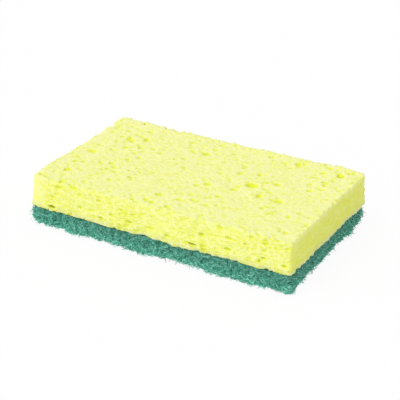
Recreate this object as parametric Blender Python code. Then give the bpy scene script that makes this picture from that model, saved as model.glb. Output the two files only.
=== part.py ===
"""Cellulose sponge with a scouring pad bonded under it, lying pad down.

The sponge is a die-cut block of yellow cellulose foam. Its gas bubbles open on the cut faces as
pits: round ones on top, long low ones along the two long sides, hardly any on the two ends.
The pad is a mat of green nonwoven fibre with ragged sides and a wavy lower rim.
Metres, +Z up, X along the sponge. The origin is the middle of the pad's underside.
"""

import math
import random

import bmesh
import bpy
from mathutils import Matrix, Vector, noise

MM = 0.001

# Overall sizes
LENGTH = 112 * MM
WIDTH = 65.5 * MM
SPONGE_THICKNESS = 13.3 * MM
PAD_THICKNESS = 7.7 * MM
GLUE_LINE = 0.3 * MM

# Sponge block
SPONGE_CORNER = 1.3 * MM  # plan radius of the upright corners
SPONGE_RIM = 0.5 * MM  # rounding of the top rim
SPONGE_HEEL = 0.3 * MM  # small round under the foot of the sides
END_LEAN = 1.0 * MM  # how far the -X end slopes inwards from foot to top
SIDE_WAVE = 0.25 * MM  # how far the cut sides stray from straight
SIDE_WAVE_SPAN = 17 * MM  # length of such a wave
OUTLINE_STEP = 6 * MM  # distance between points along the straight sides
CORNER_STEPS = 4
RIM_STEPS = 2

# Scouring pad
PAD_INSET = 0.3 * MM  # how far the middle of its ragged sides lies inside the overall sizes
PAD_CORNER = 1.6 * MM
PAD_CELL = 2.5 * MM  # size of a facet of its skin
PAD_ROWS = 4  # facets from its lower rim to its top
PAD_RAGGED = 0.5 * MM  # how far tufts stand out of or sink into its sides
PAD_RAGGED_SPAN = 1.7 * MM
RIM_LIFT_REACH = 3.5 * MM  # how far in from the sides the lower rim lifts off the table
PAD_RELIEF = 1.2 * MM  # how strongly its underside waves between flat patches on the table
PAD_RELIEF_SPAN = 6.5 * MM

# Where the lower rim of the pad lifts off the table: place along X and Y, as shares of half the
# length and width, then how far along the rim this reaches and how high it lifts, in millimetres
RIM_LIFTS = (
    (-1.00, -1.00, 12, 1.2),
    (-0.80, -1.00, 10, 0.9),
    (-0.45, -1.00, 14, 0.5),
    (0.13, -1.00, 7, 1.1),
    (0.30, -1.00, 5, 0.8),
    (0.95, -1.00, 9, 0.7),
    (1.00, -0.50, 15, 1.2),
    (1.00, 0.20, 17, 1.2),
    (1.00, 1.00, 12, 1.9),
    (0.50, 1.00, 14, 1.0),
    (0.05, 1.00, 10, 1.2),
    (-0.45, 1.00, 16, 0.8),
    (-1.00, 0.90, 12, 1.3),
    (-1.00, 0.10, 14, 1.0),
)

# Bubbles that open on the faces: how many for each square metre, and their half lengths
TOP_DENSITY = 7500
SIDE_DENSITY = 22000
END_DENSITY = 5000
TOP_BUBBLE = (0.6 * MM, 1.1 * MM)  # least and most half length
SIDE_BUBBLE = (0.6 * MM, 1.3 * MM)
END_BUBBLE = (0.4 * MM, 0.6 * MM)
TOP_ROUNDNESS = (0.75, 1.0)  # least and most half width, as shares of the half length
SIDE_ROUNDNESS = (0.4, 0.65)
BUBBLE_DEPTH = 0.7  # depth of a large bubble, as a share of its least half size
BUBBLE_SINK = 0.2  # share of its depth that a bubble's middle lies under the face
BUBBLE_DENT = 0.1  # share by which its skin strays from an ellipsoid
BUBBLE_WALL = 0.35 * MM  # least foam between two bubbles
COLLAR = 0.45 * MM  # how far the cutter of a bubble stands out of the face
LARGE_BUBBLE = 1.15 * MM  # a bubble at least this long, by half, gets the finer skin
FINE_SKIN = (10, (-0.75, -0.2))  # facets round a bubble, and its rings as shares of its depth
COARSE_SKIN = (8, (-0.6,))
TOP_TURN = 0.6  # most that a top bubble is turned from the long axis, in radians
END_SPREAD = 0.9  # share of the width of the ends that has bubbles
TRIES = 30  # for each bubble, to find it a free place
SEED = 11

# The large bubbles of the top face, the last four as nicks in its rim: place along X and Y, as
# shares of half the length and width, then half length and half width in millimetres
LARGE_TOP_BUBBLES = (
    (0.41, 0.03, 2.5, 1.7),
    (0.66, -0.18, 2.0, 1.9),
    (0.87, 0.75, 1.3, 1.7),
    (0.53, 0.82, 1.2, 1.5),
    (-0.13, 0.54, 1.5, 1.6),
    (-0.85, -0.07, 1.5, 1.4),
    (0.81, 0.52, 1.5, 1.0),
    (0.55, 0.20, 1.4, 1.1),
    (0.33, -0.15, 1.5, 1.1),
    (0.78, 0.24, 1.3, 1.2),
    (0.52, -0.15, 1.1, 0.9),
    (0.38, 0.34, 1.1, 1.2),
    (0.25, 0.26, 1.0, 1.0),
    (-0.82, -0.65, 1.2, 1.3),
    (-0.85, -0.40, 1.0, 1.1),
    (-0.56, -0.32, 1.2, 0.9),
    (-0.61, 0.55, 1.1, 1.1),
    (-0.73, 0.46, 0.9, 1.2),
    (-0.50, 0.98, 1.8, 0.9),
    (0.06, 0.98, 1.3, 0.8),
    (-0.74, -0.95, 1.3, 1.1),
    (0.97, -0.55, 0.9, 1.2),
)
# The large slots of the -Y side: place along X and up from the foot, as shares of half the
# length and of the thickness, then half length and half height in millimetres
LARGE_SIDE_BUBBLES = (
    (-0.83, 0.15, 1.9, 0.7),
    (-0.43, 0.74, 1.2, 0.5),
    (-0.20, 0.30, 1.2, 0.6),
    (-0.04, 0.27, 2.0, 0.8),
    (0.08, 0.17, 1.0, 0.5),
    (0.35, 0.19, 1.7, 0.7),
    (0.36, 0.52, 1.1, 0.6),
    (0.49, 0.89, 1.3, 0.7),
    (0.54, 0.27, 2.0, 0.6),
    (0.72, 0.23, 1.4, 0.7),
    (0.83, 0.77, 1.1, 0.6),
    (0.93, 0.24, 1.0, 0.6),
)

SPONGE_FOOT = PAD_THICKNESS + GLUE_LINE
SPONGE_TOP = SPONGE_FOOT + SPONGE_THICKNESS
PAD_LENGTH = LENGTH - 2 * PAD_INSET
PAD_WIDTH = WIDTH - 2 * PAD_INSET

SPONGE_YELLOW = (0.91, 0.93, 0.27, 1.0)
SPONGE_ROUGHNESS = 0.95
PAD_GREEN = (0.065, 0.30, 0.22, 1.0)
PAD_ROUGHNESS = 0.9
FLAT = math.radians(0.01)  # faces that differ by less than this angle become one


def clear_scene():
    for thing in list(bpy.data.objects):
        bpy.data.objects.remove(thing)


def material(name, colour, roughness):
    made = bpy.data.materials.new(name)
    made.use_nodes = True
    shader = made.node_tree.nodes["Principled BSDF"]
    shader.inputs["Base Color"].default_value = colour
    shader.inputs["Roughness"].default_value = roughness
    shader.inputs["Metallic"].default_value = 0.0
    made.diffuse_color = colour
    return made


def new_object(name, bm, finish=None):
    mesh = bpy.data.meshes.new(name)
    bm.to_mesh(mesh)
    bm.free()
    if finish:
        mesh.materials.append(finish)
    thing = bpy.data.objects.new(name, mesh)
    bpy.context.scene.collection.objects.link(thing)
    return thing


def smoothstep(share):
    share = min(max(share, 0.0), 1.0)
    return share * share * (3 - 2 * share)


def join_rings(bm, lower, upper):
    """Joins two loops of vertices of the same length with a band of faces."""
    for i in range(len(lower)):
        j = (i + 1) % len(lower)
        bm.faces.new((lower[i], lower[j], upper[j], upper[i]))


def loft(bm, rings):
    """A closed skin through rings of points, lowest first, with a flat face at each end."""
    loops = [[bm.verts.new(point) for point in ring] for ring in rings]
    for lower, upper in zip(loops, loops[1:]):
        join_rings(bm, lower, upper)
    bm.faces.new(reversed(loops[0]))
    bm.faces.new(loops[-1])


def rounded_rectangle(length, width, radius, step):
    """(point, outward normal) pairs round a rounded rectangle, counter-clockwise from above."""
    straight_x = length - 2 * radius
    straight_y = width - 2 * radius
    quarters = ((1, 1, straight_x), (-1, 1, straight_y), (-1, -1, straight_x), (1, -1, straight_y))
    outline = []
    for quarter, (sign_x, sign_y, run) in enumerate(quarters):
        middle = Vector((sign_x * straight_x / 2, sign_y * straight_y / 2))
        for i in range(CORNER_STEPS + 1):
            angle = math.pi / 2 * (quarter + i / CORNER_STEPS)
            normal = Vector((math.cos(angle), math.sin(angle)))
            outline.append((middle + normal * radius, normal))
        start, normal = outline[-1]
        along = Vector((-normal.y, normal.x))
        pieces = max(1, round(run / step))
        outline += [(start + along * run * i / pieces, normal) for i in range(1, pieces)]
    return outline


def side_profile():
    """(height above the foot, inset from the outline) of the block's rings, foot to top."""
    profile = [(0.0, SPONGE_HEEL), (SPONGE_HEEL, 0.0), (SPONGE_THICKNESS / 2, 0.0)]
    for i in range(RIM_STEPS + 1):
        angle = math.pi / 2 * i / RIM_STEPS
        height = SPONGE_THICKNESS - SPONGE_RIM * (1 - math.sin(angle))
        profile.append((height, SPONGE_RIM * (1 - math.cos(angle))))
    return profile


def lean(x, height):
    """How far a point moves along X because the -X end slopes inwards towards the top."""
    share = smoothstep((-x - LENGTH / 4) / (LENGTH / 4))
    return END_LEAN * share * height / SPONGE_THICKNESS


def sponge_block(finish):
    outline = rounded_rectangle(LENGTH, WIDTH, SPONGE_CORNER, OUTLINE_STEP)
    rings = []
    for height, inset in side_profile():
        ring = []
        for at, normal in outline:
            wave = noise.noise(Vector((at.x, at.y, height)) / SIDE_WAVE_SPAN)
            place = at + normal * (SIDE_WAVE * wave - inset)
            ring.append((place.x + lean(place.x, height), place.y, SPONGE_FOOT + height))
        rings.append(ring)
    bm = bmesh.new()
    loft(bm, rings)
    block = new_object("sponge_block", bm, finish)
    carve = block.modifiers.new("open_bubbles", "BOOLEAN")
    carve.operation = "DIFFERENCE"
    carve.solver = "EXACT"
    carve.object = bubbles()
    return block


class Bubble:
    """An ellipsoid that opens on a face. half is its half size along its grain, across it and
    into the face."""

    def __init__(self, mouth, normal, grain, half):
        self.mouth = Vector(mouth)
        self.normal = Vector(normal)
        self.grain = Vector(grain)
        self.half = half

    def clear_of(self, other):
        room = max(self.half) + max(other.half) + BUBBLE_WALL
        return (self.mouth - other.mouth).length > room

    def cut_into(self, bm, rng):
        """Adds a closed bowl to the cutter: a pole, rings up to the mouth, and a flat lid."""
        sides, levels = FINE_SKIN if max(self.half) >= LARGE_BUBBLE else COARSE_SKIN
        long, wide, deep = self.half
        turn = Matrix((self.grain, self.normal.cross(self.grain), self.normal)).transposed()
        dents = [1 + rng.uniform(-BUBBLE_DENT, BUBBLE_DENT) for _ in range(sides)]

        def ring(level, height):
            reach = math.sqrt(1 - level * level)
            verts = []
            for i, dent in enumerate(dents):
                angle = 2 * math.pi * i / sides
                x = long * reach * dent * math.cos(angle)
                y = wide * reach * dent * math.sin(angle)
                verts.append(bm.verts.new(self.mouth + turn @ Vector((x, y, height))))
            return verts

        middle = -BUBBLE_SINK * deep
        loops = [ring(level, middle + level * deep) for level in levels]
        loops.append(ring(BUBBLE_SINK, COLLAR))
        pole = bm.verts.new(self.mouth + self.normal * (middle - deep))
        for i in range(sides):
            bm.faces.new((pole, loops[0][(i + 1) % sides], loops[0][i]))
        for lower, upper in zip(loops, loops[1:]):
            join_rings(bm, lower, upper)
        bm.faces.new(loops[-1])


def top_mouth(share_x, share_y):
    return (share_x * LENGTH / 2, share_y * WIDTH / 2, SPONGE_TOP)


def side_mouth(sign, share_x, height):
    """A place on the long side that faces sign times Y."""
    return (share_x * LENGTH / 2, sign * WIDTH / 2, SPONGE_FOOT + height)


def end_mouth(sign, share_y, height):
    """A place on the end that faces sign times X."""
    face = sign * LENGTH / 2
    return (face + lean(face, height), share_y * WIDTH / 2, SPONGE_FOOT + height)


def listed_bubbles():
    """The large bubbles that are placed one by one."""
    found = []
    for share_x, share_y, long, wide in LARGE_TOP_BUBBLES:
        half = (long * MM, wide * MM, BUBBLE_DEPTH * min(long, wide) * MM)
        found.append(Bubble(top_mouth(share_x, share_y), (0, 0, 1), (1, 0, 0), half))
    for share_x, share_z, long, tall in LARGE_SIDE_BUBBLES:
        half = (long * MM, tall * MM, (long + tall) / 2 * MM)
        mouth = side_mouth(-1, share_x, share_z * SPONGE_THICKNESS)
        found.append(Bubble(mouth, (0, -1, 0), (1, 0, 0), half))
    return found


def mostly_small(rng, least_and_most):
    """A random size that is seldom near the most, as with real bubbles."""
    least, most = least_and_most
    return least + (most - least) * rng.random() ** 2


def top_bubble(rng):
    long = mostly_small(rng, TOP_BUBBLE)
    wide = long * rng.uniform(*TOP_ROUNDNESS)
    turn = rng.uniform(-TOP_TURN, TOP_TURN)
    grain = (math.cos(turn), math.sin(turn), 0)
    mouth = top_mouth(rng.uniform(-1, 1), rng.uniform(-1, 1))
    return Bubble(mouth, (0, 0, 1), grain, (long, wide, wide))


def side_bubble(sign):
    def make(rng):
        long = mostly_small(rng, SIDE_BUBBLE)
        tall = long * rng.uniform(*SIDE_ROUNDNESS)
        height = rng.uniform(tall + SPONGE_HEEL, SPONGE_THICKNESS - tall)
        mouth = side_mouth(sign, rng.uniform(-1, 1), height)
        return Bubble(mouth, (0, sign, 0), (1, 0, 0), (long, tall, long))

    return make


def end_bubble(sign):
    def make(rng):
        wide = mostly_small(rng, END_BUBBLE)
        height = rng.uniform(wide + SPONGE_HEEL, SPONGE_THICKNESS - SPONGE_RIM - wide)
        mouth = end_mouth(sign, rng.uniform(-END_SPREAD, END_SPREAD), height)
        return Bubble(mouth, (sign, 0, 0), (0, sign, 0), (wide, wide, wide))

    return make


def inside_outline(bubble):
    """Whether the middle of its mouth lies on the block, and not past a round corner."""
    corner_x = abs(bubble.mouth.x) - (LENGTH / 2 - SPONGE_CORNER)
    corner_y = abs(bubble.mouth.y) - (WIDTH / 2 - SPONGE_CORNER)
    if corner_x <= 0 or corner_y <= 0:
        return True
    return math.hypot(corner_x, corner_y) < SPONGE_CORNER - SPONGE_RIM


def scatter(rng, found, area, density, make):
    """Adds bubbles that stay clear of all others. make gives one at a random place."""
    wanted = round(area * density)
    tries = TRIES * wanted
    while wanted > 0 and tries > 0:
        tries -= 1
        bubble = make(rng)
        if inside_outline(bubble) and all(bubble.clear_of(other) for other in found):
            found.append(bubble)
            wanted -= 1


def bubbles():
    """One hidden cutter that holds every bubble of the block."""
    rng = random.Random(SEED)
    found = listed_bubbles()
    scatter(rng, found, LENGTH * WIDTH, TOP_DENSITY, top_bubble)
    for sign in (-1, 1):
        scatter(rng, found, LENGTH * SPONGE_THICKNESS, SIDE_DENSITY, side_bubble(sign))
        scatter(rng, found, WIDTH * SPONGE_THICKNESS, END_DENSITY, end_bubble(sign))
    bm = bmesh.new()
    for bubble in found:
        bubble.cut_into(bm, rng)
    cutter = new_object("bubbles", bm)
    cutter.hide_render = True
    cutter.display_type = "WIRE"
    return cutter


def lattice_skin(bm, cells, place):
    """The closed outside of a box of cells. place(u, v, w) puts shares of 0 to 1 in space."""
    verts = {}

    def vert(key):
        if key not in verts:
            verts[key] = bm.verts.new(place(*(k / n for k, n in zip(key, cells))))
        return verts[key]

    for axis in range(3):
        first, second = (axis + 1) % 3, (axis + 2) % 3
        for end in (0, cells[axis]):
            for i in range(cells[first]):
                for j in range(cells[second]):
                    corners = []
                    for di, dj in ((0, 0), (1, 0), (1, 1), (0, 1)):
                        key = [0, 0, 0]
                        key[axis], key[first], key[second] = end, i + di, j + dj
                        corners.append(vert(tuple(key)))
                    bm.faces.new(corners if end else reversed(corners))


def past_corner(x, y):
    """How far a point of the pad lies past the start of its round corners, along X and Y."""
    past_x = max(abs(x) - PAD_LENGTH / 2 + PAD_CORNER, 0.0)
    past_y = max(abs(y) - PAD_WIDTH / 2 + PAD_CORNER, 0.0)
    return Vector((math.copysign(past_x, x), math.copysign(past_y, y), 0))


def round_corner(x, y):
    """Moves a point of the pad's plan so that its square corners become round ones."""
    past = past_corner(x, y)
    if not past.x or not past.y:
        return x, y
    pull = past * (1 - max(abs(past.x), abs(past.y)) / past.length)
    return x - pull.x, y - pull.y


def rim_lift(x, y):
    """How high the lower rim of the pad lifts near a point of its plan."""
    highest = 0.0
    for share_x, share_y, reach, lift in RIM_LIFTS:
        away = math.hypot(x - share_x * PAD_LENGTH / 2, y - share_y * PAD_WIDTH / 2)
        highest = max(highest, lift * MM * smoothstep(1 - away / (reach * MM)))
    return highest


def pad_point(u, v, w):
    """A point of the pad's skin: flat top, ragged sides, waving rim, underside with hollows."""
    x, y = round_corner((u - 0.5) * PAD_LENGTH, (v - 0.5) * PAD_WIDTH)
    base = Vector((x, y, 0))
    depth_in = min(PAD_LENGTH / 2 - abs(x), PAD_WIDTH / 2 - abs(y))
    rim = 1 - smoothstep(depth_in / RIM_LIFT_REACH)
    lift = rim * rim_lift(x, y)
    hollow = PAD_RELIEF * max(0.0, noise.noise(base / PAD_RELIEF_SPAN))
    bottom = max(lift, hollow)
    point = Vector((x, y, bottom + (PAD_THICKNESS - bottom) * w))
    on_side = u in (0, 1) or v in (0, 1)
    if on_side and w < 1:
        tuft = noise.noise(point / PAD_RAGGED_SPAN)
        point += past_corner(x, y).normalized() * PAD_RAGGED * tuft
    return point


def scouring_pad(finish):
    cells = (round(PAD_LENGTH / PAD_CELL), round(PAD_WIDTH / PAD_CELL), PAD_ROWS)
    bm = bmesh.new()
    lattice_skin(bm, cells, pad_point)
    bmesh.ops.dissolve_limit(bm, angle_limit=FLAT, verts=bm.verts, edges=bm.edges)
    return new_object("scouring_pad", bm, finish)


def build():
    clear_scene()
    sponge_block(material("cellulose_yellow", SPONGE_YELLOW, SPONGE_ROUGHNESS))
    scouring_pad(material("scouring_green", PAD_GREEN, PAD_ROUGHNESS))


build()
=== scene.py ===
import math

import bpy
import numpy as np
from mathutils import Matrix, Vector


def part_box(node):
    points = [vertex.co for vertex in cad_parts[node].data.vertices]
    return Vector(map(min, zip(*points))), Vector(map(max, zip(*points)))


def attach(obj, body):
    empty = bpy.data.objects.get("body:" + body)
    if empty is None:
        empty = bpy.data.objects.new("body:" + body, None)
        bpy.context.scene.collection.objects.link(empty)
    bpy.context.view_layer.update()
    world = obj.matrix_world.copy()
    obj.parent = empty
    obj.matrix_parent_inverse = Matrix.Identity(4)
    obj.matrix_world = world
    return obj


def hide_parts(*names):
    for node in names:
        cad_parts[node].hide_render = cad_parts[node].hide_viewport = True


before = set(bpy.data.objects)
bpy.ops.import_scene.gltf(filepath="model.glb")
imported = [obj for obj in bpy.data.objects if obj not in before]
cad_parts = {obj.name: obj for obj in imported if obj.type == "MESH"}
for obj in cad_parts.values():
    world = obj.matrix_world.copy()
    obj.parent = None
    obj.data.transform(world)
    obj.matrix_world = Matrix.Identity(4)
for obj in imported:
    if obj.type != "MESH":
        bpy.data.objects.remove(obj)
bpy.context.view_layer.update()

# A cellulose sponge on its scouring pad. The foam is a solid field from which about two thousand
# bubbles are cut. The pad is a ragged core under a tangle of curly fibres.
# Lengths are in millimetres until a mesh is made of them, unless a comment says otherwise.
# A "step", "span" or "reach" is a length too. Solids are signed distances, negative inside.

import openvdb
from mathutils import Vector, noise

MM = 0.001
SPONGE_LOW, SPONGE_HIGH = (np.array(corner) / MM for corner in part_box("sponge_block"))
PAD_LOW, PAD_HIGH = (np.array(corner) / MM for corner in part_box("scouring_pad"))
X_AXIS, Y_AXIS, Z_AXIS = np.eye(3)
GRID_MARGIN = 3  # steps that a grid of points reaches past its solid

# Block of foam
SPONGE_STEP = 0.422  # distance between the points of its field
SPONGE_CORNER = 1.2  # radius of the upright corners
SPONGE_RIM = 0.55  # radius of the edge of the top
SPONGE_HEEL = 0.5  # radius of the edge of the foot
END_LEAN = 1.0  # how far the -X end slopes inwards from foot to top
SIDE_WAVE = 0.12
SIDE_WAVE_SPAN = 14.0
FOOT_RAGGED = 0.2  # how far the foot of the sides strays
FOOT_RAGGED_SPANS = (2.5, 2.5, 4.0)
FOOT_RAGGED_SHARE = 0.25  # share of the thickness over which it does
FOOT_NOTCH = 0.5  # how high the notches in its edge are
FOOT_NOTCH_SPAN = 1.7
FOOT_NOTCH_LEVEL = 0.7  # a higher level leaves fewer of them
TOP_WAVE = 0.08
TOP_WAVE_SPAN = 9.0
SKIN_RELIEF = 0.05  # fine relief of the cut faces
SKIN_RELIEF_SPAN = 1.0
END_SMOOTHNESS = 0.75  # share of that relief that the two ends lack
RIM_CRUMBLE = 0.25  # how far the rim of the top strays
RIM_CRUMBLE_SPAN = 1.2
RIM_CRUMBLE_LIMIT = 2  # most that a crumb stands out, in spreads of its noise
CORNER_CRUMBLE = 1.0  # share of that for the upright corners
RIM_WIDTH = 1.4
FACE_BLEND = 1.2  # over this much the looks of one face pass into those of the next
END_SKIN = 1.6  # how far in an end keeps some of its own looks and its painted shade
END_RIM = 2.5  # how far below the top it has them in full
SAG_REACH = 2.5  # how far in from the sides the foot sags
GLUED_INSET = 3.5  # from this far in the faces between foam and pad are hidden, so few do
GLUED_SKIN = 0.1  # how far from the glue line a face may lie to be one of them
FOOT_WHOLE = 0.3  # no bubble comes closer to the foot, because it is glued to the pad
FOOT_BAND = 3.5  # height of the band along the foot that is painted darker, as shade where the foam meets the pad
FOAM_SEED = 5

# Bubbles: how many for each square millimetre, and their least and most half length
TOP_BUBBLES = ((0.012, 0.75, 1.2), (0.06, 0.5, 0.8))
SIDE_BUBBLES = ((0.03, 0.8, 1.2), (0.4, 0.4, 0.7))
END_BUBBLES = ((0.02, 0.5, 0.8),)
TOP_ROUNDNESS = (0.75, 1.05)  # least and most half width, as shares of the half length
SIDE_ROUNDNESS = (0.4, 0.6)
END_ROUNDNESS = 0.7
BUBBLE_DEPTH = 0.45  # share of its least half size that a bubble is deep, by half
BUBBLE_SINK = 0.2  # share of its depth that its middle lies under the face
BUBBLE_DENT = 0.09  # how uneven its wall is, as a share of its least half size
BUBBLE_DENT_SPAN = 1.6
BUBBLE_MARGIN = 1.3  # how far from its middle it is cut, as a share of its greatest half size
END_SPREAD = 0.45  # how far from the middle of an end its bubbles lie, as a share of its size
TOP_TURN = 0.6  # most that a top bubble is turned from the long axis, in radians
PIT_DEPTH = 0.42  # a bubble's wall this far under the face has the full colour of a pit, which is painted shade
PAINTED_SHADE_DEPTH = (1.1, 2.2)  # between these depths a pit turns olive, as painted shade

# The large bubbles of the top face: place along X and Y, as shares of half the length and
# width, then half length, half width and depth
LARGE_TOP_BUBBLES = (
    (0.41, 0.03, 2.5, 1.7, 1.0),
    (0.66, -0.18, 2.0, 1.6, 0.4),
    (0.87, 0.75, 1.3, 1.7, 1.1),
    (0.53, 0.82, 1.2, 1.4, 0.75),
    (-0.11, 0.54, 1.5, 1.5, 0.8),
    (-0.85, -0.07, 1.5, 1.4, 0.6),
    (0.82, 0.50, 1.8, 0.8, 0.5),
    (0.55, 0.20, 1.4, 1.1, 0.6),
    (0.33, -0.15, 1.5, 1.1, 0.6),
    (0.78, 0.24, 1.3, 1.2, 0.6),
    (0.52, -0.15, 1.1, 0.9, 0.45),
    (0.38, 0.34, 1.1, 1.2, 0.6),
    (0.25, 0.26, 1.0, 1.0, 0.45),
    (-0.82, -0.65, 1.2, 1.3, 0.6),
    (-0.85, -0.40, 1.0, 1.1, 0.45),
    (-0.56, -0.32, 1.2, 0.9, 0.45),
    (-0.61, 0.55, 1.1, 1.1, 0.8),
    (-0.73, 0.46, 0.9, 1.2, 0.45),
    (-0.50, 0.98, 1.8, 0.9, 0.45),
    (0.06, 0.98, 1.3, 0.8, 0.45),
    (-0.74, -0.95, 1.3, 1.1, 0.6),
    (0.97, -0.55, 0.9, 1.2, 0.45),
    (-0.99, 0.70, 1.3, 1.8, 1.3),
    (-0.57, 0.29, 0.8, 0.7, 0.45),
    (-0.48, 0.35, 0.8, 0.7, 0.45),
    (-0.37, -0.47, 1.0, 0.6, 0.45),
    (-0.30, 0.75, 1.0, 0.8, 0.45),
    (-0.28, -0.25, 0.8, 0.6, 0.45),
    (-0.21, 0.29, 1.1, 0.8, 0.45),
    (-0.13, -0.10, 1.5, 0.8, 0.35),
    (-0.09, 0.86, 1.6, 0.8, 0.45),
    (-0.05, -0.89, 1.0, 0.8, 0.45),
    (0.09, -0.69, 1.1, 0.9, 0.45),
    (0.12, -0.52, 1.4, 0.6, 0.45),
    (0.13, 0.15, 1.3, 0.7, 0.45),
    (0.15, -0.19, 0.9, 0.7, 0.45),
    (0.17, -0.62, 1.4, 0.7, 0.45),
    (0.29, -0.66, 1.0, 0.7, 0.45),
    (0.35, -0.49, 1.0, 0.7, 0.45),
    (0.44, 0.77, 1.1, 0.8, 0.45),
    (0.51, 0.69, 1.0, 0.7, 0.45),
    (0.71, 0.58, 1.0, 0.8, 0.45),
    (0.74, 0.74, 1.0, 0.9, 0.45),
    (0.75, 0.89, 1.3, 0.8, 0.45),
    (0.82, -0.47, 1.0, 0.8, 0.45),
    (0.84, 0.33, 1.2, 0.7, 0.45),
    (0.86, -0.33, 1.0, 0.8, 0.45),
    (0.90, -0.81, 1.0, 0.8, 0.45),
    (0.93, 0.90, 1.0, 0.9, 0.45),
)
# The large slots of the -Y side: place along X and up, as shares of half the length and of the
# thickness, then half length, half height and depth
LARGE_SIDE_BUBBLES = (
    (-0.82, 0.15, 1.9, 0.5, 2.0),
    (-0.75, 0.82, 1.6, 0.5, 0.6),
    (-0.63, 0.93, 1.6, 0.7, 0.7),
    (-0.58, 0.36, 1.2, 0.5, 0.9),
    (-0.58, 0.76, 0.8, 0.5, 0.6),
    (-0.50, 0.36, 1.0, 0.5, 0.6),
    (-0.43, 0.74, 1.2, 0.5, 0.6),
    (-0.42, 0.20, 1.3, 0.45, 1.4),
    (-0.33, 0.40, 1.1, 0.5, 0.6),
    (-0.19, 0.34, 1.4, 0.6, 1.1),
    (-0.16, 0.59, 1.0, 0.5, 0.6),
    (-0.03, 0.30, 2.0, 0.6, 0.7),
    (0.05, 0.58, 1.4, 0.5, 0.7),
    (0.10, 0.21, 1.3, 0.5, 1.2),
    (0.29, 0.18, 1.6, 0.5, 1.7),
    (0.36, 0.54, 1.2, 0.5, 1.2),
    (0.37, 0.20, 1.4, 0.5, 0.6),
    (0.42, 0.73, 0.9, 0.5, 0.6),
    (0.45, 0.60, 2.6, 0.4, 0.6),
    (0.49, 0.89, 1.3, 0.7, 0.8),
    (0.55, 0.31, 1.8, 0.5, 1.1),
    (0.56, 0.65, 1.3, 0.5, 1.1),
    (0.68, 0.61, 1.0, 0.5, 0.6),
    (0.72, 0.86, 0.9, 0.5, 0.6),
    (0.77, 0.20, 0.45, 0.35, 1.1),
    (0.80, 0.34, 1.0, 0.5, 1.1),
    (0.81, 0.56, 0.8, 0.5, 0.6),
    (0.82, 0.78, 1.1, 0.5, 0.7),
    (0.95, 0.25, 1.1, 0.55, 0.9),
)

# Soft bumps of a plan: place along X and Y, as shares of half the length and width, then how
# far each reaches and how high it is
TOP_LIFTS = (
    (-0.98, 0.95, 9, 0.8),
    (-0.75, 1.00, 10, 0.5),
)
FOOT_SAGS = (
    (-0.35, -1.00, 18, 0.45),
    (0.18, -1.00, 14, 0.70),
    (0.42, -1.00, 8, 0.50),
    (0.74, -1.00, 10, 0.45),
    (1.00, -0.20, 20, 0.25),
    (1.00, 0.70, 9, 0.55),
    (-0.20, 1.00, 20, 0.40),
    (-1.00, 0.30, 16, 0.40),
)
WORN_CORNERS = (
    (1.00, 1.00, 9, 0.3),
    (-1.00, -1.00, 9, 1.0),
)
RIM_LIFTS = (
    (-1.00, -1.00, 12, 1.2),
    (-0.80, -1.00, 10, 0.9),
    (-0.45, -1.00, 14, 0.5),
    (0.13, -1.00, 7, 1.1),
    (0.30, -1.00, 5, 0.8),
    (0.88, -1.00, 7, 0.6),
    (1.00, -0.50, 15, 1.2),
    (1.00, 0.20, 17, 1.2),
    (1.00, 1.00, 12, 1.9),
    (0.50, 1.00, 14, 1.0),
    (0.05, 1.00, 10, 1.2),
    (-0.45, 1.00, 16, 0.8),
    (-1.00, 0.90, 12, 1.3),
    (-1.00, 0.10, 14, 1.0),
)
RIM_TUFTS = (
    (-0.10, -1.00, 7, 0.8),
    (0.50, -1.00, 8, 0.8),
    (0.72, -1.00, 6, 0.6),
    (1.00, -1.00, 4, 0.8),
    (0.20, 1.00, 9, 0.7),
)

# Core of the pad
PAD_STEP = 0.5  # distance between the points of its field
PAD_INSET = 0.7  # how far in from the sides of the pad it lies, to leave room for the fibres
PAD_CORNER = 0.8  # radius of the upright corners
PAD_LOWER_EDGE = 0.5  # radius of the edge of the bottom
PAD_RAGGED = 0.35  # how far its sides stray
PAD_RAGGED_SPAN = 1.7
PAD_CREVICE = 0.22  # the same for its fine crevices
PAD_CREVICE_SPAN = 0.9
PAD_BOTTOM_CLEAR = 0.1  # how far it stays above the table
RIM_LIFT_REACH = 3.5  # how far in from the sides the rim lifts
TUFT_HEIGHT = 4.0  # how far up its sides the tufts of the rim reach
PAD_RELIEF = 1.2  # depth of the hollows of its underside
PAD_RELIEF_SPAN = 6.5
CORE_PAINTED_SHADE = 0.3  # share of painted shade that its skin already has
CORE_PAINTED_SHADE_DEPTH = 1.2  # depth that adds a full share of that painted shade
CORE_SEED = 8

# Fibres of the pad: name, the axis that their side faces, and how many
FIBRE_SETS = (
    ("fibres_long_sides", 1, 7500),
    ("fibres_ends", 0, 4500),
    ("fibres_underside", 2, 7500),
)
FIBRE_POINTS = 5
FIBRE_SIDES = 3
FIBRE_LENGTH = (1.0, 2.6)
FIBRE_RADIUS = (0.08, 0.16)
FIBRE_LEVEL = 0.35  # how steeply a fibre climbs, beside one that may lie any way
FIBRE_CURL = 0.4  # spread of the bend of a fibre, for each millimetre
FIBRE_TWIST = 0.3  # how much the direction of that bend strays
FIBRE_RISE = (0.0, 0.5)  # how far its middle stands out
FIBRE_DIVE = 0.5  # how far its ends lie below the skin
FIBRE_KINK = 0.08
LOOSE_SHARE = 0.35  # share of the fibres with a free end
LOOSE_REACH = (0.15, 1.2)  # half of how far that end is lifted
FIBRE_TAPER = 0.55  # thickness of the ends, as a share of that of the rest
FIBRE_SEED = 21

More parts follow.
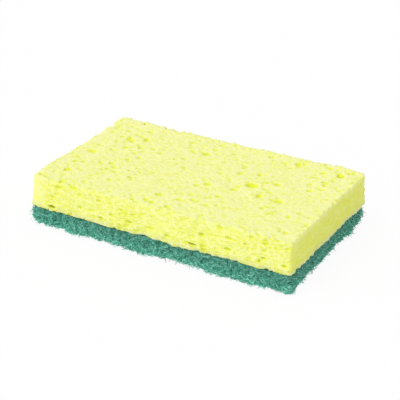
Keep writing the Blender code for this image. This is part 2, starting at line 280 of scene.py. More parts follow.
# Looks of the foam. A colour is linear red, green and blue with an alpha of 1. A noise is the
# spans of its lumps along X, Y and Z, its detail and its roughness.
TOP_COLOURS = ((0.945, 0.98, 0.34, 1), (0.985, 0.998, 0.455, 1))
SIDE_COLOURS = ((0.945, 0.98, 0.28, 1), (0.99, 1.0, 0.47, 1))
# The ends are darker and more saturated than the top and sides: painted shade.
END_COLOURS_WITH_PAINTED_SHADE = ((0.855, 0.89, 0.11, 1), (0.905, 0.94, 0.27, 1))
FOOT_COLOUR = (0.96, 0.97, 0.54, 1)
FOOT_FADE = 3.0  # how fast it fades upwards, as a power
TOP_MOTTLE = ((1.8, 3.8, 1.9), 3.0, 0.65)
SIDE_MOTTLE = ((1.0, 0.5, 0.42), 3.0, 0.75)
MOTTLE_RANGE = (0.33, 0.67)  # the noise from which the mottles are the first or second colour
END_MOTTLE = ((4.0, 4.5, 2.6), 3.0, 0.6)
END_MOTTLE_RANGE = (0.34, 0.66)
# Pores that are only a colour, painted shade of small holes that the mesh lacks: spans, and the
# distances from their middle where they start and are full, as shares of the spans
TOP_PORES = ((2.1, 3.4, 2.0), 0.42, 0.26)
LONG_PORES = ((3.0, 1.2, 1.05), 0.50, 0.34)
FINE_PORES = ((1.8, 0.9, 0.75), 0.46, 0.32)
PORE_PAINTED_SHADE_COLOURS = ((0.90, 0.95, 0.10, 1), (0.85, 0.90, 0.08, 1))  # on the top, on the sides; a darker, saturated yellow that paints the shade in the pores
PORE_SHARE = (0.5, 0.68)  # how much of that colour they have, on the top and on the sides
PORE_DENT = 0.4  # how deep they look, as a share of the height of the grain
PORELESS = 0.6  # share of an end at which there are none
PIT_PAINTED_SHADE_COLOURS = ((0.84, 0.905, 0.08, 1), (0.885, 0.94, 0.11, 1))  # on the top, on the sides; a darker, saturated yellow that paints the shade in the pits
# The olive of the deepest pits is painted shade.
PAINTED_DEEP_PIT_SHADE = (0.50, 0.55, 0.05, 1)
TOP_GRAIN = ((0.42, 0.5, 0.45), 2.0, 0.6)
TOP_GRAIN_RANGE = (0.32, 0.68)
SIDE_GRAIN = ((0.55, 0.34, 0.28), 2.0, 0.7)
SIDE_GRAIN_RANGE = (0.34, 0.66)
GRAIN_DARK = (0.885, 0.85)  # brightness of the dark grains, on the top and on the sides
GRAIN_LIGHT = (1.015, 1.035)  # the same of the light grains
GRAIN_BUMP = (0.2, 0.4)  # strength of their relief, on the top and on the sides
END_BUMP = 0.4  # share of it that the ends have
GRAIN_HEIGHT = 0.2
# How bright the band along the foot is: painted shade where the foam meets the pad.
FOOT_PAINTED_SHADE = 0.88
RIM_BRIGHTNESS = 0.94
FOAM_ROUGHNESS = 0.95
FOAM_SHEEN = 0.15
FOAM_GLOW = 0.4  # share of the light that passes a little way through the foam
FOAM_GLOW_REACH = 0.5
FOAM_GLOW_TINT = (1.0, 1.0, 0.4)  # how far its red, green and blue go, as shares of that

# Looks of the pad
CORE_COLOURS = ((0.046, 0.255, 0.185, 1), (0.168, 0.58, 0.44, 1))
# The deep parts of the core are painted darker: painted shade.
PAINTED_CORE_SHADE_COLOUR = (0.024, 0.18, 0.127, 1)
CORE_PATCHES = ((1.2, 1.2, 0.3), 3.0, 0.7)
CORE_GRAIN = ((0.35, 0.35, 0.3), 2.0, 0.6)
CORE_BUMP = (0.7, 0.2)  # strength and height of that grain
CORE_ROUGHNESS = 0.8
FIBRE_COLOURS = ((0.046, 0.29, 0.21, 1), (0.14, 0.585, 0.43, 1))
PALE_FIBRE_COLOUR = (0.35, 0.84, 0.69, 1)
PALE_TONES = (0.45, 1.0)  # the random tones over which fibres turn pale
FIBRE_PATCHES = ((1.1, 1.1, 0.26), 3.0, 0.7)
FIBRE_GRAIN = ((0.2, 0.2, 0.2), 2.0, 0.6)
FIBRE_BUMP = (0.5, 0.05)
FIBRE_ROUGHNESS = 0.55
PATCH_RANGE = (0.35, 0.65)
# The pad is painted lighter near the table and darker up towards the foam, as painted shade under
# it, and it is lighter at its -X end: from and to which place, and how bright it is at the first
# and at the second
PAINTED_LIGHT_BY_HEIGHT = ("Z", 1.5, 6.0, 1.28, 0.95)
END_PALENESS = ("X", -54.0, -20.0, 1.1, 1.0)

# Camera: how the photograph was taken
AZIMUTH = math.radians(29.7)
ELEVATION = math.radians(26.45)
DISTANCE = 482.15
AIM_RIGHT = 0.80  # how far right of the origin it aims
AIM_UP = 8.92
LENS = 110.7
SENSOR = 36.0
CLIP = (0.01, 100.0)  # metres

# Light and floor
WHITE = (1, 1, 1, 1)
AMBIENT = 0.74  # strength of the even sky
KEY = 1.3  # strength of the lamp
KEY_FROM = Vector((-0.45, -0.62, 0.65))
KEY_SOFTNESS = math.radians(55)
FLOOR_COLOUR = (0.95, 0.95, 0.95, 1)
FLOOR_VEIL = 0.93  # share of plain white that the camera sees over the lit floor
FLOOR_SIZE = 6.0  # metres


class Grid:
    """Evenly spaced points that fill a box."""

    def __init__(self, low, high, step):
        self.step = step
        self.low = np.array(low, dtype=float) - GRID_MARGIN * step
        past = np.array(high) + GRID_MARGIN * step - self.low
        self.count = np.ceil(past / step).astype(int) + 1
        self.axes = [start + step * np.arange(n) for start, n in zip(self.low, self.count)]

    def points(self):
        """X, Y and Z of the points, as arrays that broadcast to the whole grid."""
        return np.meshgrid(*self.axes, indexing="ij", sparse=True)

    def near(self, centre, reach):
        """The part of the grid within reach of a point, as slices."""
        first = np.floor((centre - reach - self.low) / self.step).astype(int)
        last = np.ceil((centre + reach - self.low) / self.step).astype(int) + 1
        first = np.clip(first, 0, self.count)
        last = np.clip(last, 0, self.count)
        return tuple(slice(a, b) for a, b in zip(first, last))

    def lumps(self, rng, spans):
        """A random field of unit spread. Spans is how wide its lumps are, or that for each axis."""
        waves = np.fft.rfftn(rng.standard_normal(self.count))
        for axis, span in enumerate(np.broadcast_to(spans, 3)):
            frequencies = np.fft.rfftfreq if axis == 2 else np.fft.fftfreq
            along = [1, 1, 1]
            along[axis] = -1
            share = frequencies(self.count[axis], self.step) * span
            # A blur by a bell curve whose spread is a quarter of the span
            waves *= np.exp(-(math.pi * share) ** 2 / 8).reshape(along)
        field = np.fft.irfftn(waves, self.count)
        return field / field.std()

    def sample(self, field, points):
        """The field's values at points between those of the grid."""
        field = np.broadcast_to(field, self.count)
        place = (points - self.low) / self.step
        cell = np.clip(np.floor(place).astype(int), 0, self.count - 2)
        share = place - cell
        total = np.zeros(len(points))
        for corner in np.ndindex(2, 2, 2):
            weight = np.prod(np.where(corner, share, 1 - share), axis=1)
            total += weight * field[tuple((cell + corner).T)]
        return total

    def skin(self, field):
        """The closed surface where the field is zero: its points and quads."""
        cloud = openvdb.FloatGrid(GRID_MARGIN * self.step)
        cloud.copyFromArray(field.astype(np.float32), tolerance=0)
        points, quads = cloud.convertToQuads(isovalue=0.0)
        return points.astype(float) * self.step + self.low, quads.astype(int)


def fan_over(points, quads, hidden):
    """Swaps quads of a flat hidden area for a fan of triangles round its middle."""
    gone, kept = quads[hidden], quads[~hidden]
    count = len(points)
    edges = np.concatenate([gone[:, (k, (k + 1) % 4)] for k in range(4)])
    rim = edges[~np.isin(edges @ (count, 1), edges @ (1, count))]
    fan = np.column_stack((rim, np.full(len(rim), count)))
    points = np.vstack((points, points[rim].mean(axis=(0, 1))))
    used, place = np.unique(np.concatenate((fan.ravel(), kept.ravel())), return_inverse=True)
    return points[used], place[: fan.size].reshape(-1, 3), place[fan.size :].reshape(-1, 4)


def smoothstep(share):
    """0 up to a share of 0, 1 from a share of 1, and a smooth rise between."""
    share = np.clip(share, 0, 1)
    return share * share * (3 - 2 * share)


def plan_distance(x, y, length, width, radius):
    """Signed distance to a rounded rectangle seen from above."""
    past_x = np.abs(x) - (length / 2 - radius)
    past_y = np.abs(y) - (width / 2 - radius)
    outside = np.hypot(np.maximum(past_x, 0), np.maximum(past_y, 0))
    return np.minimum(np.maximum(past_x, past_y), 0) + outside - radius


def round_edge(first, second, radius):
    """Signed distance to the solid within two faces that meet in a round edge."""
    first, second = first + radius, second + radius
    outside = np.hypot(np.maximum(first, 0), np.maximum(second, 0))
    return np.minimum(np.maximum(first, second), 0) + outside - radius


def bumps(places, x, y):
    """The height of the highest of several soft bumps of the sponge's plan."""
    middle, half = (SPONGE_HIGH + SPONGE_LOW) / 2, (SPONGE_HIGH - SPONGE_LOW) / 2
    total = 0 * (x + y)
    for share_x, share_y, reach, height in places:
        away = np.hypot(x - middle[0] - share_x * half[0], y - middle[1] - share_y * half[1])
        total = np.maximum(total, height * smoothstep(1 - away / reach))
    return total


def foot_sag(x, y, side):
    """How far the foot of the foam sags into the pad, near the sides."""
    return bumps(FOOT_SAGS, x, y) * (1 - smoothstep(-side / SAG_REACH))


def make_object(name, points, faces, finish, values):
    """A smooth mesh in metres, with values as named numbers on its points."""
    mesh = bpy.data.meshes.new(name)
    corners = [face for kind in faces for face in kind.tolist()]
    mesh.from_pydata((points * MM).tolist(), [], corners)
    for label, numbers in values.items():
        layer = mesh.attributes.new(label, "FLOAT", "POINT")
        layer.data.foreach_set("value", np.asarray(numbers, dtype=np.float32))
    mesh.materials.append(finish)
    mesh.shade_smooth()
    thing = bpy.data.objects.new(name, mesh)
    bpy.context.scene.collection.objects.link(thing)
    return thing


def carve(grid, field, dents, mouth, normal, grain, half):
    """Takes a dented ellipsoid that opens on a face out of the solid."""
    middle = mouth - normal * half[2] * BUBBLE_SINK
    part = grid.near(middle, max(half) * BUBBLE_MARGIN + grid.step)
    if any(s.start >= s.stop for s in part):
        return
    x, y, z = (
        (axis[s] - m).reshape([-1 if i == k else 1 for k in range(3)])
        for i, (axis, s, m) in enumerate(zip(grid.axes, part, middle))
    )
    across = np.cross(normal, grain)
    reach = 0
    for direction, size in zip((grain, across, normal), half):
        reach = reach + ((x * direction[0] + y * direction[1] + z * direction[2]) / size) ** 2
    bubble = (np.sqrt(reach) - 1 + BUBBLE_DENT * dents[part]) * min(half)
    field[part] = np.maximum(field[part], -bubble)


def mostly_small(rng, least, most):
    """A random size that is more often near the least."""
    return least + (most - least) * rng.random() ** 2


def top_bubbles(rng, middle, size):
    """(mouth, normal, grain, half sizes) of each bubble of the top face."""
    top = middle + Z_AXIS * size[2] / 2
    for share_x, share_y, *half in LARGE_TOP_BUBBLES:
        mouth = top + (share_x * size[0] / 2, share_y * size[1] / 2, 0)
        yield mouth, Z_AXIS, X_AXIS, half
    for density, least, most in TOP_BUBBLES:
        for _ in range(round(density * size[0] * size[1])):
            long = mostly_small(rng, least, most)
            wide = long * rng.uniform(*TOP_ROUNDNESS)
            turn = rng.uniform(-TOP_TURN, TOP_TURN)
            grain = X_AXIS * math.cos(turn) + Y_AXIS * math.sin(turn)
            mouth = top + rng.uniform(-0.5, 0.5, 3) * size * (1, 1, 0)
            yield mouth, Z_AXIS, grain, (long, wide, BUBBLE_DEPTH * wide)


def side_bubbles(rng, middle, size):
    """The same of the two long sides, whose bubbles are long and low."""
    front = middle - Y_AXIS * size[1] / 2 - Z_AXIS * size[2] / 2
    for share_x, share_z, *half in LARGE_SIDE_BUBBLES:
        mouth = front + (share_x * size[0] / 2, 0, share_z * size[2])
        yield mouth, -Y_AXIS, X_AXIS, half
    for density, least, most in SIDE_BUBBLES:
        for sign in (-1, 1):
            for _ in range(round(density * size[0] * size[2])):
                long = mostly_small(rng, least, most)
                tall = long * rng.uniform(*SIDE_ROUNDNESS)
                mouth = middle + rng.uniform(-0.5, 0.5, 3) * size * (1, 0, 1)
                mouth = mouth + sign * Y_AXIS * size[1] / 2
                yield mouth, sign * Y_AXIS, X_AXIS, (long, tall, BUBBLE_DEPTH * long)


def end_bubbles(rng, middle, size):
    """The same of the two ends, which have few."""
    for density, least, most in END_BUBBLES:
        for sign in (-1, 1):
            for _ in range(round(density * size[1] * size[2])):
                wide = mostly_small(rng, least, most)
                place = rng.uniform(-END_SPREAD, END_SPREAD, 3) * size * (0, 1, 1)
                lean = END_LEAN * (place[2] / size[2] + 0.5) if sign < 0 else 0
                mouth = middle + place + X_AXIS * (sign * size[0] / 2 + lean)
                half = (wide, wide * END_ROUNDNESS, wide * BUBBLE_DEPTH)
                yield mouth, sign * X_AXIS, Y_AXIS, half


def foam_block(finish):
    """The block of foam, with the numbers on its points that its material needs."""
    rng = np.random.default_rng(FOAM_SEED)
    grid = Grid(SPONGE_LOW, SPONGE_HIGH, SPONGE_STEP)
    x, y, z = grid.points()
    size = SPONGE_HIGH - SPONGE_LOW
    middle = (SPONGE_HIGH + SPONGE_LOW) / 2
    x_in, y_in = x - middle[0], y - middle[1]
    up = (z - SPONGE_LOW[2]) / size[2]
    quarter = size[0] / 4
    lean = END_LEAN * smoothstep((-x_in - quarter) / quarter) * up

    # The sides, the top and the foot
    wave = SIDE_WAVE * grid.lumps(rng, SIDE_WAVE_SPAN)
    ragged = FOOT_RAGGED * grid.lumps(rng, FOOT_RAGGED_SPANS)
    ragged = ragged * smoothstep(1 - up / FOOT_RAGGED_SHARE)
    side = plan_distance(x_in - lean, y_in, size[0], size[1], SPONGE_CORNER) + wave + ragged
    side = side + bumps(WORN_CORNERS, x, y) * up
    flat_side = plan_distance(x_in, y_in, size[0], size[1], SPONGE_CORNER)
    top = z - SPONGE_HIGH[2] - bumps(TOP_LIFTS, x, y)
    top = top + TOP_WAVE * grid.lumps(rng, TOP_WAVE_SPAN)
    notch = FOOT_NOTCH * np.maximum(grid.lumps(rng, FOOT_NOTCH_SPAN) - FOOT_NOTCH_LEVEL, 0)
    notch = notch * smoothstep(1 + flat_side / SAG_REACH)
    foot = SPONGE_LOW[2] - foot_sag(x, y, flat_side) + notch - z
    plain = np.maximum(round_edge(side, top, SPONGE_RIM), round_edge(side, foot, SPONGE_HEEL))

    # Where a point belongs: to an end, to a long side, to the crumbly rim
    past_x = np.abs(x_in - lean) - size[0] / 2
    past_y = np.abs(y_in) - size[1] / 2
    ends = smoothstep((past_x + END_SKIN) / FACE_BLEND) * smoothstep(-top / END_RIM)
    sides = smoothstep((past_y + FACE_BLEND) / FACE_BLEND) * smoothstep(-top / FACE_BLEND)
    sides = sides * (1 - ends)
    near_end = smoothstep(1 + past_x / RIM_WIDTH)
    near_side = smoothstep(1 + past_y / RIM_WIDTH)
    near_top = smoothstep(1 + top / RIM_WIDTH)
    rim = smoothstep(1 + side / RIM_WIDTH) * near_top
    rim = np.maximum(rim, CORNER_CRUMBLE * (near_end * near_side))

    # Fine relief and bubbles
    relief = SKIN_RELIEF * grid.lumps(rng, SKIN_RELIEF_SPAN) * (1 - END_SMOOTHNESS * ends)
    crumbs = grid.lumps(rng, RIM_CRUMBLE_SPAN)
    crumbs = np.clip(crumbs, -RIM_CRUMBLE_LIMIT, RIM_CRUMBLE_LIMIT)
    relief = (relief + RIM_CRUMBLE * crumbs * rim) * smoothstep(-foot)
    field = plain + relief
    dents = grid.lumps(rng, BUBBLE_DENT_SPAN)
    for faces in (top_bubbles, side_bubbles, end_bubbles):
        for bubble in faces(rng, middle, size):
            carve(grid, field, dents, *bubble)
    field = np.where(-foot < FOOT_WHOLE, np.maximum(plain, foot), field)
    points, quads = grid.skin(field)
    glued = grid.sample(-foot, points) < GLUED_SKIN
    glued &= grid.sample(flat_side, points) < -GLUED_INSET
    points, *faces = fan_over(points, quads, glued[quads].all(axis=1))

    # How deep a point lies under the plain face: the pits are painted a darker, saturated yellow by
    # it, as shade.
    depth = -grid.sample(plain, points)
    low = 1 - smoothstep((points[:, 2] - SPONGE_LOW[2]) / FOOT_BAND)
    # How far a deep pit is painted olive, as shade; near the foot less depth does it.
    painted_shade = (depth * (1 + low) - PAINTED_SHADE_DEPTH[0]) / (PAINTED_SHADE_DEPTH[1] - PAINTED_SHADE_DEPTH[0])
    values = {
        "pit": smoothstep(depth / PIT_DEPTH),
        "painted_shade": smoothstep(painted_shade),
        "end": grid.sample(ends, points),
        "side": grid.sample(sides, points),
        "rim": grid.sample(near_side * near_top, points),
        "low": low,
    }
    return make_object("cellulose_foam", points, faces, finish, values)


def plane_noise(x, y, span):
    """Smooth noise of the plan, one number for each pair of X and Y, as in the solid pad."""
    rows = [[noise.noise(Vector((a, b, 0)) / span) for b in y.ravel()] for a in x.ravel()]
    return np.array(rows)[:, :, None]


def pad_core(finish):
    """The core of the pad, and the points and quads of its skin, from which fibres grow."""
    rng = np.random.default_rng(CORE_SEED)
    grid = Grid(PAD_LOW, PAD_HIGH, PAD_STEP)
    x, y, z = grid.points()
    length, width, _ = PAD_HIGH - PAD_LOW - 2 * PAD_INSET
    middle = (PAD_HIGH + PAD_LOW) / 2
    side = plan_distance(x - middle[0], y - middle[1], length, width, PAD_CORNER)
    lift = bumps(RIM_LIFTS, x, y) * (1 - smoothstep(-side / RIM_LIFT_REACH))
    hollow = PAD_RELIEF * np.maximum(plane_noise(x, y, PAD_RELIEF_SPAN), 0)
    bottom = PAD_LOW[2] + np.maximum(lift, hollow) + PAD_BOTTOM_CLEAR
    tufts = bumps(RIM_TUFTS, x, y) * (1 - smoothstep((z - bottom) / TUFT_HEIGHT))
    ragged = PAD_RAGGED * grid.lumps(rng, PAD_RAGGED_SPAN)
    crevice = PAD_CREVICE * grid.lumps(rng, PAD_CREVICE_SPAN)
    below = bottom - z + np.abs(crevice)
    body = round_edge(side - tufts + ragged + crevice, below, PAD_LOWER_EDGE)
    field = np.maximum(body, z - PAD_HIGH[2] + foot_sag(x, y, side))
    points, quads = grid.skin(field)
    glued = points[:, 2] > PAD_HIGH[2] - GLUED_SKIN
    glued &= grid.sample(side, points) < -GLUED_INSET
    points, *faces = fan_over(points, quads, glued[quads].all(axis=1))
    # The deeper the skin lies in a crevice, the darker it is painted, as shade.
    depth = -grid.sample(np.maximum(side - tufts, bottom - z), points)
    painted_shade = smoothstep(depth / CORE_PAINTED_SHADE_DEPTH + CORE_PAINTED_SHADE)
    return make_object("pad_core", points, faces, finish, {"depth": painted_shade}), (points, faces[1])


def unit(vectors):
    """The vectors of the last axis, each one long."""
    return vectors / np.linalg.norm(vectors, axis=-1, keepdims=True)


def places_on(rng, points, quads, axis, count):
    """Random places on the sides of a skin that face along an axis, with the way out of it."""
    corners = points[np.concatenate((quads[:, :3], quads[:, (0, 2, 3)]))]
    first, second = corners[:, 1] - corners[:, 0], corners[:, 2] - corners[:, 0]
    out = np.cross(first, second)
    area = np.linalg.norm(out, axis=1)
    # The top of the pad is glued to the foam and has none
    faces_it = (np.abs(out).argmax(axis=1) == axis) & (out[:, 2] < area / 2)
    pick = rng.choice(len(corners), count, p=area * faces_it / (area * faces_it).sum())
    share = rng.random((count, 2))
    share = np.where(share.sum(1, keepdims=True) > 1, 1 - share, share)
    place = corners[pick, 0] + first[pick] * share[:, :1] + second[pick] * share[:, 1:]
    return place, unit(out[pick])


def fibre_paths(rng, place, out):
    """A curly path for each fibre: along the skin, with its ends in the mat or one of them free."""
    count = len(place)
    heading = rng.standard_normal((count, 3)) * (1, 1, FIBRE_LEVEL)
    heading = unit(heading - (heading * out).sum(1, keepdims=True) * out)
    bend = unit(np.cross(heading, out) + FIBRE_TWIST * rng.standard_normal((count, 3)))
    long = rng.uniform(*FIBRE_LENGTH, (count, 1, 1))
    curl = rng.normal(0, FIBRE_CURL, (count, 1, 1))
    rise = rng.uniform(*FIBRE_RISE, (count, 1, 1))
    loose = rng.random((count, 1, 1)) < LOOSE_SHARE
    free = np.where(loose, rng.uniform(*LOOSE_REACH, (count, 1, 1)), 0)
    share = np.linspace(-0.5, 0.5, FIBRE_POINTS)[None, :, None]
    run = share * long
    ends = 4 * share**2
    height = rise * (1 - ends) - FIBRE_DIVE * ends + free * 2 * (share + 0.5) ** 2
    path = place[:, None] + heading[:, None] * run + out[:, None] * height
    path = path + bend[:, None] * curl * run**2 / 2
    return path + FIBRE_KINK * rng.standard_normal(path.shape)


def fibres(name, axis, count, skin, finish):
    """One mesh of many thin tubes."""
    rng = np.random.default_rng(FIBRE_SEED + axis)
    path = fibre_paths(rng, *places_on(rng, *skin, axis, count))
    thick = rng.uniform(*FIBRE_RADIUS, (count, 1))
    path[:, :, 2] = np.clip(path[:, :, 2], PAD_LOW[2] + thick, PAD_HIGH[2] - thick)
    along = unit(np.gradient(path, axis=1))
    across = unit(np.cross(along, unit(rng.standard_normal((count, 1, 3)))))
    other = np.cross(along, across)
    taper = np.ones((1, FIBRE_POINTS))
    taper[:, (0, -1)] = FIBRE_TAPER
    angles = 2 * math.pi * np.arange(FIBRE_SIDES) / FIBRE_SIDES
    spokes = [across * math.cos(a) + other * math.sin(a) for a in angles]
    rings = [path + spoke * (thick * taper)[:, :, None] for spoke in spokes]
    points = np.stack(rings, axis=2).reshape(-1, 3)
    tube = []
    last = (FIBRE_POINTS - 1) * FIBRE_SIDES
    for start in range(0, last, FIBRE_SIDES):
        for k in range(FIBRE_SIDES):
            n = (k + 1) % FIBRE_SIDES
            tube.append((start + k, start + n, start + n + FIBRE_SIDES, start + k + FIBRE_SIDES))
    caps = (tuple(range(FIBRE_SIDES))[::-1], tuple(range(last, last + FIBRE_SIDES)))
    first = (np.arange(count) * FIBRE_POINTS * FIBRE_SIDES)[:, None, None]
    faces = [(first + np.array(kind)).reshape(-1, len(kind[0])) for kind in (tube, caps)]
    tone = np.repeat(rng.uniform(0, 1, count), FIBRE_POINTS * FIBRE_SIDES)
    return make_object(name, points, faces, finish, {"tone": tone})


class Shader:
    """A material's node tree, with short calls to add and link nodes."""

    def __init__(self, name):
        self.material = bpy.data.materials.new(name)
        self.material.use_nodes = True
        self.tree = self.material.node_tree
        self.surface = self.tree.nodes["Principled BSDF"]

    def add(self, kind, settings=None, inputs=None):
        """A new node, with its settings and with numbers or links on its inputs."""
        node = self.tree.nodes.new(kind)
        for key, value in (settings or {}).items():
            setattr(node, key, value)
        for key, value in (inputs or {}).items():
            self.set(node, key, value)
        return node

    def set(self, node, key, value):
        """Links an output to an input, or gives the input a value."""
        socket = node.inputs[key]
        if isinstance(value, bpy.types.NodeSocket):
            self.tree.links.new(value, socket)
        else:
            socket.default_value = value

    def place(self, spans):
        """The point of the surface in the object's own space, in spans of so many millimetres."""
        coords = self.add("ShaderNodeTexCoord").outputs["Object"]
        scale = [1 / (span * MM) for span in spans]
        inputs = {0: coords, 1: scale}
        return self.add("ShaderNodeVectorMath", {"operation": "MULTIPLY"}, inputs).outputs["Vector"]

    def noise(self, spans, detail, roughness):
        """Soft noise with lumps about spans millimetres wide."""
        inputs = {"Vector": self.place(spans), "Scale": 1.0}
        inputs.update({"Detail": detail, "Roughness": roughness})
        return self.add("ShaderNodeTexNoise", None, inputs).outputs["Fac"]

    def pores(self, spans, edge, middle):
        """Spots round random points, 0 at edge and 1 at middle, as shares of the spans."""
        inputs = {"Vector": self.place(spans), "Scale": 1.0}
        distance = self.add("ShaderNodeTexVoronoi", None, inputs).outputs["Distance"]
        return self.spread(distance, edge, middle)

    def value(self, name):
        """A named number of the mesh's points."""
        return self.add("ShaderNodeAttribute", {"attribute_name": name}).outputs["Fac"]

    def spread(self, value, low, high):
        """Stretches low to high over 0 to 1."""
        inputs = {"Value": value, "From Min": low, "From Max": high}
        return self.add("ShaderNodeMapRange", None, inputs).outputs["Result"]

    def mix(self, share, first, second):
        """A colour between two colours."""
        inputs = {0: share, 6: first, 7: second}
        return self.add("ShaderNodeMix", {"data_type": "RGBA"}, inputs).outputs[2]

    def blend(self, share, first, second):
        """A number between two numbers."""
        return self.add("ShaderNodeMix", None, {0: share, 2: first, 3: second}).outputs[0]

    def scaled(self, colour, share):
        """A colour made darker or lighter."""
        inputs = {0: colour, "Scale": share}
        return self.add("ShaderNodeVectorMath", {"operation": "SCALE"}, inputs).outputs["Vector"]

    def along(self, axis, low, high):
        """0 to 1 from a low to a high point of the object on an axis, in millimetres."""
        parts = self.add("ShaderNodeSeparateXYZ", None, {0: self.place((1, 1, 1))})
        return self.spread(parts.outputs[axis], low, high)

    def math(self, operation, first, second):
        inputs = {0: first, 1: second}
        return self.add("ShaderNodeMath", {"operation": operation}, inputs).outputs[0]

    def bump(self, height, strength, distance):
        inputs = {"Height": height, "Strength": strength, "Distance": distance * MM}
        return self.add("ShaderNodeBump", None, inputs).outputs["Normal"]


def foam_finish():
    """Cream skin mottled with yellow; pores and pits painted a darker, saturated yellow and the
    deepest olive, as shade, and painted shade along the foot.
    """
    shader = Shader("cellulose_foam")
    side, end, low = shader.value("side"), shader.value("end"), shader.value("low")

    # The skin
    mottle = shader.blend(side, shader.noise(*TOP_MOTTLE), shader.noise(*SIDE_MOTTLE))
    mottle = shader.spread(mottle, *MOTTLE_RANGE)
    top_face = shader.mix(mottle, *TOP_COLOURS)
    side_face = shader.mix(mottle, *SIDE_COLOURS)
    end_mottle = shader.spread(shader.noise(*END_MOTTLE), *END_MOTTLE_RANGE)
    face = shader.mix(side, top_face, side_face)
    # The ends take darker, more saturated colours: painted shade.
    face = shader.mix(end, face, shader.mix(end_mottle, *END_COLOURS_WITH_PAINTED_SHADE))
    face = shader.mix(shader.math("POWER", low, FOOT_FADE), face, FOOT_COLOUR)

    # Pores and pits, in painted shade
    side_pores = shader.math("MAXIMUM", shader.pores(*LONG_PORES), shader.pores(*FINE_PORES))
    pores = shader.blend(side, shader.pores(*TOP_PORES), side_pores)
    pores = shader.math("MULTIPLY", pores, shader.spread(end, PORELESS, 0.0))
    coloured = shader.math("MULTIPLY", pores, shader.blend(side, *PORE_SHARE))
    face = shader.mix(coloured, face, shader.mix(side, *PORE_PAINTED_SHADE_COLOURS))
    pit = shader.mix(shader.value("painted_shade"), shader.mix(side, *PIT_PAINTED_SHADE_COLOURS), PAINTED_DEEP_PIT_SHADE)
    face = shader.mix(shader.value("pit"), face, pit)

    # Light and dark grain
    top_grain = shader.spread(shader.noise(*TOP_GRAIN), *TOP_GRAIN_RANGE)
    side_grain = shader.spread(shader.noise(*SIDE_GRAIN), *SIDE_GRAIN_RANGE)
    grain = shader.blend(side, top_grain, side_grain)
    dark, light = shader.blend(side, *GRAIN_DARK), shader.blend(side, *GRAIN_LIGHT)
    dim = shader.blend(grain, dark, light)
    # The band along the foot is painted darker, as shade.
    dim = shader.math("MULTIPLY", dim, shader.blend(low, 1.0, FOOT_PAINTED_SHADE))
    dim = shader.math("MULTIPLY", dim, shader.blend(shader.value("rim"), 1.0, RIM_BRIGHTNESS))
    height = shader.math("SUBTRACT", grain, shader.math("MULTIPLY", pores, PORE_DENT))
    height = shader.math("MULTIPLY", height, shader.blend(end, 1.0, END_BUMP))
    bump = shader.bump(height, shader.blend(side, *GRAIN_BUMP), GRAIN_HEIGHT)

    shader.set(shader.surface, "Base Color", shader.scaled(face, dim))
    shader.set(shader.surface, "Normal", bump)
    shader.set(shader.surface, "Roughness", FOAM_ROUGHNESS)
    shader.set(shader.surface, "Specular IOR Level", FOAM_SHEEN)
    shader.set(shader.surface, "Subsurface Weight", FOAM_GLOW)
    shader.set(shader.surface, "Subsurface Radius", FOAM_GLOW_TINT)
    shader.set(shader.surface, "Subsurface Scale", FOAM_GLOW_REACH * MM)
    return shader.material


def pad_painted_light_and_end_tone(shader):
    """How much the pad is painted lighter near the table and darker up towards the foam, as shade,
    and how much brighter it is at its -X end.
    """
    shares = []
    for axis, start, stop, first, second in (PAINTED_LIGHT_BY_HEIGHT, END_PALENESS):
        shares.append(shader.blend(shader.along(axis, start, stop), first, second))
    return shader.math("MULTIPLY", *shares)


def core_finish():
    """The deeper fibres of the pad, painted darker the deeper they lie, as shade."""
    shader = Shader("scouring_core")
    patches = shader.spread(shader.noise(*CORE_PATCHES), *PATCH_RANGE)
    green = shader.mix(patches, *CORE_COLOURS)
    # Crevices are painted darker, as shade.
    green = shader.mix(shader.value("depth"), green, PAINTED_CORE_SHADE_COLOUR)
    shader.set(shader.surface, "Base Color", shader.scaled(green, pad_painted_light_and_end_tone(shader)))
    shader.set(shader.surface, "Normal", shader.bump(shader.noise(*CORE_GRAIN), *CORE_BUMP))
    shader.set(shader.surface, "Roughness", CORE_ROUGHNESS)
    return shader.material


def fibre_finish():
    """Green nylon: every fibre has its own tone, and whole tufts are lighter or darker."""
    shader = Shader("scouring_fibre")
    patches = shader.spread(shader.noise(*FIBRE_PATCHES), *PATCH_RANGE)
    green = shader.mix(patches, *FIBRE_COLOURS)
    pale = shader.spread(shader.value("tone"), *PALE_TONES)
    green = shader.mix(pale, green, PALE_FIBRE_COLOUR)
    # Painted lighter near the table and darker up towards the foam, as shade.
    shader.set(shader.surface, "Base Color", shader.scaled(green, pad_painted_light_and_end_tone(shader)))
    shader.set(shader.surface, "Normal", shader.bump(shader.noise(*FIBRE_GRAIN), *FIBRE_BUMP))
    shader.set(shader.surface, "Roughness", FIBRE_ROUGHNESS)
    return shader.material


def seen_share(tree):
    """1 for what the camera sees, directly or in gloss or glass, and 0 for light."""
    path = tree.nodes.new("ShaderNodeLightPath")
    share = path.outputs["Is Camera Ray"]
    for name in ("Is Glossy Ray", "Is Transmission Ray"):
        most = tree.nodes.new("ShaderNodeMath")
        most.operation = "MAXIMUM"
        tree.links.new(share, most.inputs[0])
        tree.links.new(path.outputs[name], most.inputs[1])
        share = most.outputs[0]
    return share


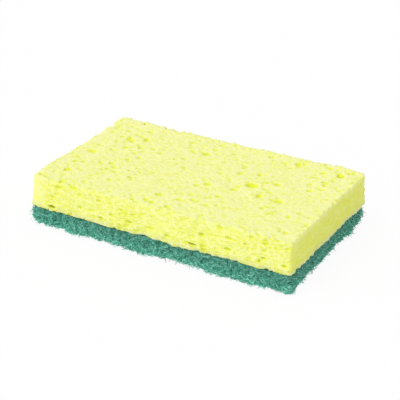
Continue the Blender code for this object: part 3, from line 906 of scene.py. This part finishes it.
def backdrop():
    """White to the camera, and a plain soft light on the object."""
    world = bpy.data.worlds.new("studio")
    bpy.context.scene.world = world
    world.use_nodes = True
    tree = world.node_tree
    tree.nodes.clear()
    light = tree.nodes.new("ShaderNodeBackground")
    light.inputs["Strength"].default_value = AMBIENT
    seen = tree.nodes.new("ShaderNodeBackground")
    for shown in (light, seen):
        shown.inputs["Color"].default_value = WHITE
    mixed = tree.nodes.new("ShaderNodeMixShader")
    out = tree.nodes.new("ShaderNodeOutputWorld")
    tree.links.new(seen_share(tree), mixed.inputs[0])
    tree.links.new(light.outputs[0], mixed.inputs[1])
    tree.links.new(seen.outputs[0], mixed.inputs[2])
    tree.links.new(mixed.outputs[0], out.inputs["Surface"])


def key_light():
    """One broad, soft lamp from the left, the front and above."""
    lamp = bpy.data.lights.new("key", "SUN")
    lamp.energy = KEY
    lamp.angle = KEY_SOFTNESS
    key = bpy.data.objects.new("key", lamp)
    key.rotation_mode = "QUATERNION"
    key.rotation_quaternion = KEY_FROM.to_track_quat("Z", "Y")
    bpy.context.scene.collection.objects.link(key)


def floor():
    """A pale floor. A veil of white over it, for the camera alone, leaves its shadow faint."""
    shader = Shader("floor")
    tree = shader.tree
    shader.set(shader.surface, "Base Color", FLOOR_COLOUR)
    shader.set(shader.surface, "Roughness", 1.0)
    shader.set(shader.surface, "Specular IOR Level", 0.0)
    white = shader.add("ShaderNodeEmission", None, {"Color": WHITE, "Strength": 1.0})
    veil = shader.math("MULTIPLY", seen_share(tree), FLOOR_VEIL)
    inputs = {0: veil, 1: shader.surface.outputs[0], 2: white.outputs[0]}
    mixed = shader.add("ShaderNodeMixShader", None, inputs)
    shader.set(tree.nodes["Material Output"], "Surface", mixed.outputs[0])
    half = FLOOR_SIZE / 2
    mesh = bpy.data.meshes.new("floor")
    corners = [(-half, -half, 0), (half, -half, 0), (half, half, 0), (-half, half, 0)]
    mesh.from_pydata(corners, [], [(0, 1, 2, 3)])
    mesh.materials.append(shader.material)
    ground = bpy.data.objects.new("floor", mesh)
    bpy.context.scene.collection.objects.link(ground)


def camera():
    """The camera, seen from which the object stands as in the photograph."""
    level = Vector((math.sin(AZIMUTH), -math.cos(AZIMUTH), 0))
    back = level * math.cos(ELEVATION) + Vector((0, 0, math.sin(ELEVATION)))
    right = Vector((math.cos(AZIMUTH), math.sin(AZIMUTH), 0))
    up = back.cross(right)
    data = bpy.data.cameras.new("camera")
    data.lens = LENS
    data.sensor_width = SENSOR
    data.clip_start, data.clip_end = CLIP
    eye = bpy.data.objects.new("camera", data)
    eye.location = (right * AIM_RIGHT + up * AIM_UP + back * DISTANCE) * MM
    eye.rotation_mode = "QUATERNION"
    eye.rotation_quaternion = back.to_track_quat("Z", "Y")
    bpy.context.scene.collection.objects.link(eye)
    bpy.context.scene.camera = eye


def stand_for(piece, node):
    """Attaches a piece to the root and hides the CAD node that it stands for."""
    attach(piece, "root")
    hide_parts(node)


def build():
    camera()
    backdrop()
    key_light()
    floor()
    foam = foam_block(foam_finish())
    stand_for(foam, "sponge_block")
    core, skin = pad_core(core_finish())
    stand_for(core, "scouring_pad")
    finish = fibre_finish()
    for name, axis, count in FIBRE_SETS:
        stand_for(fibres(name, axis, count, skin, finish), "scouring_pad")


build()
bpy.context.scene.view_settings.view_transform = "Standard"
